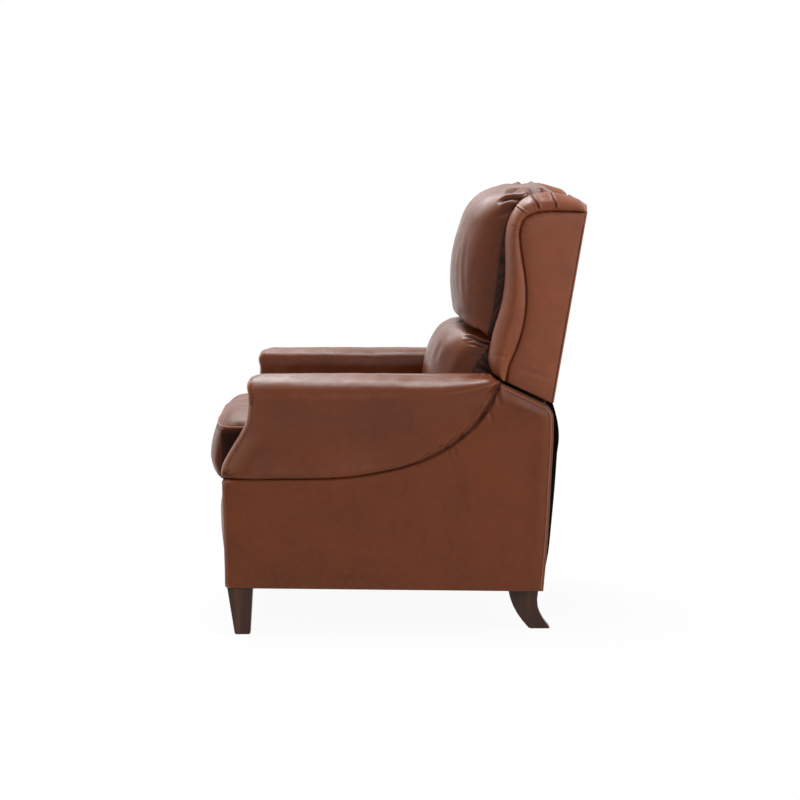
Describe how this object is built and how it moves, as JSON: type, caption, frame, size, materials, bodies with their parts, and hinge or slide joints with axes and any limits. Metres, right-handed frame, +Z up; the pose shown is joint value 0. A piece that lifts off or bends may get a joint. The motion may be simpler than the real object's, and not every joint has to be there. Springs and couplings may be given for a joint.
{
  "type": "wingback recliner",
  "caption": "Upholstered wingback recliner with padded arms, tapered wooden legs, reclining back, tilting seat and a fold-out footrest with a hinged end flap.",
  "frame": {"origin": "on the floor under the middle of the chair's box, with the chair upright and the footrest stowed", "axes": "+X to the sitter's left, -Y to the front, +Z up"},
  "size_m": [0.776, 0.892, 1.047],
  "materials": {
    "leather": "semi-gloss chestnut leather with fine grain",
    "walnut": "dark stained, satin lacquer",
    "plywood": "unfinished plywood and softwood",
    "steel": "grey satin",
    "lining": "matt black woven lining"
  },
  "bodies": {
    "base": {"left_side_panel": "leather", "right_side_panel": "leather", "left_side_board": "plywood", "right_side_board": "plywood", "left_arm": "leather", "right_arm": "leather", "left_front_leg": "walnut", "right_front_leg": "walnut", "left_rear_leg": "walnut", "right_rear_leg": "walnut", "left_base_plate": "steel", "right_base_plate": "steel", "left_base_rail": "plywood", "right_base_rail": "plywood", "front_cross_rail": "plywood", "rear_cross_rail": "plywood", "rear_flap_lower": "lining"},
    "seat": {"seat_cushion": "leather", "seat_front_rail": "plywood", "seat_rear_rail": "plywood", "mechanism_cross_tube": "steel", "seat_spring_1": "steel", "seat_spring_2": "steel", "seat_spring_3": "steel", "seat_spring_4": "steel", "left_seat_plate": "steel", "right_seat_plate": "steel", "left_seat_side_rail": "plywood", "right_seat_side_rail": "plywood"},
    "carrier": {"left_carrier_bracket": "steel", "right_carrier_bracket": "steel", "carrier_cross_tube": "steel"},
    "back": {"left_wing": "leather", "right_wing": "leather", "left_back_bracket": "steel", "right_back_bracket": "steel", "left_back_post": "plywood", "right_back_post": "plywood", "outside_back": "leather", "back_lower_rail": "plywood", "back_top_rail": "plywood", "head_pillow": "leather", "lumbar_cushion": "leather", "rear_flap_upper": "lining"},
    "crank": {"left_crank_link": "steel", "right_crank_link": "steel"},
    "drive": {"left_drive_link": "steel", "right_drive_link": "steel"},
    "front_swing": {"left_front_swing_link": "steel", "right_front_swing_link": "steel"},
    "rear_swing": {"left_rear_swing_link": "steel", "right_rear_swing_link": "steel"},
    "footrest": {"left_footrest_bracket": "steel", "right_footrest_bracket": "steel", "footrest_board": "plywood", "footrest_pad": "leather"},
    "flipper": {"left_flipper_arm": "steel", "right_flipper_arm": "steel", "flipper_board": "plywood", "flipper_pad": "leather"}
  },
  "joints": [
    {"name": "back_lean", "type": "hinge", "parent": "base", "child": "carrier", "pos_m": [0, 0.189, 0.519], "axis": [-1, 0, 0], "range_deg": [0, 24]},
    {"name": "back_recline", "type": "hinge", "parent": "carrier", "child": "back", "pos_m": [0, 0.189, 0.519], "axis": [-1, 0, 0], "range_deg": [0, 23]},
    {"name": "seat_tilt", "type": "hinge", "parent": "base", "child": "seat", "pos_m": [0, 0.045, 0.336], "axis": [-1, 0, 0], "range_deg": [0, 13]},
    {"name": "drive_pivot", "type": "hinge", "parent": "seat", "child": "drive", "pos_m": [0, -0.26, 0.2707], "axis": [-1, 0, 0], "range_deg": [0, 63.8]},
    {"name": "front_swing_pivot", "type": "hinge", "parent": "drive", "child": "front_swing", "pos_m": [0, -0.2124, 0.2216], "axis": [-1, 0, 0], "range_deg": [-60.8, 0]},
    {"name": "footrest_pivot", "type": "hinge", "parent": "front_swing", "child": "footrest", "pos_m": [0, -0.352, 0.282], "axis": [-1, 0, 0], "range_deg": [0, 76.01]},
    {"name": "flipper_pivot", "type": "hinge", "parent": "footrest", "child": "flipper", "pos_m": [0, -0.346, 0.182], "axis": [-1, 0, 0], "range_deg": [0, 180]},
    {"name": "crank_pivot", "type": "hinge", "parent": "seat", "child": "crank", "pos_m": [0, -0.2968, 0.2967], "axis": [-1, 0, 0], "range_deg": [0, 62.6]},
    {"name": "rear_swing_pivot", "type": "hinge", "parent": "drive", "child": "rear_swing", "pos_m": [0, -0.2164, 0.165], "axis": [-1, 0, 0], "range_deg": [-62.3, 0]}
  ],
  "couplings": [
    {"joint": "drive_pivot", "follows": "back_lean", "ratio": 2.6583},
    {"joint": "front_swing_pivot", "follows": "back_lean", "ratio": -2.5333},
    {"joint": "footrest_pivot", "follows": "back_lean", "ratio": 3.1667},
    {"joint": "flipper_pivot", "follows": "back_lean", "ratio": 7.5},
    {"joint": "crank_pivot", "follows": "back_lean", "ratio": 2.6083},
    {"joint": "rear_swing_pivot", "follows": "back_lean", "ratio": -2.5958},
    {"joint": "seat_tilt", "follows": "back_recline", "ratio": 0.56522}
  ]
}
